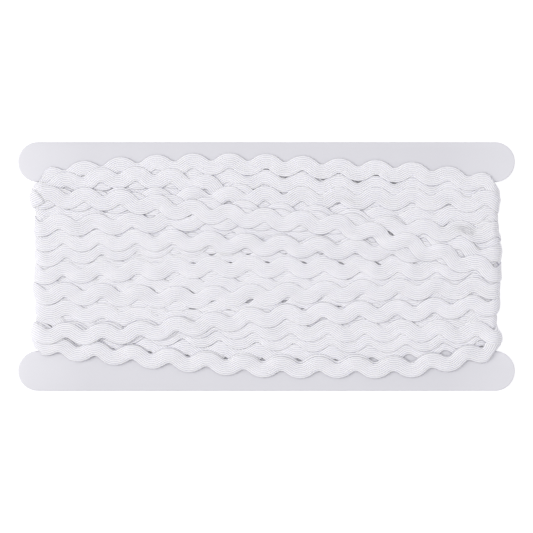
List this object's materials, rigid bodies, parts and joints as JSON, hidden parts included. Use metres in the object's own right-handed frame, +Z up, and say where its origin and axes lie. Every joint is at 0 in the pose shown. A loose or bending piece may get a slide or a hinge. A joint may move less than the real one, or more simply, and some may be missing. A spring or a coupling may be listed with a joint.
{
  "type": "roll of ric rac",
  "caption": "Wavy white ric rac trimming wound lengthwise round the waist of a flat plastic card with round-ended flanges.",
  "frame": {"origin": "middle of the face it rests on, the back of the winding", "axes": "+X along the card's length, +Y across the card towards the picture's top, +Z up out of the card's front"},
  "size_m": [0.185, 0.0926, 0.0094],
  "materials": {
    "card_plastic": "smooth pale plastic with a soft satin sheen",
    "ric_rac_yarn": "white braided polyester with fine ribs and a slight lustre"
  },
  "bodies": {
    "root": {"card": "card_plastic", "winding": "ric_rac_yarn"}
  },
  "joints": []
}
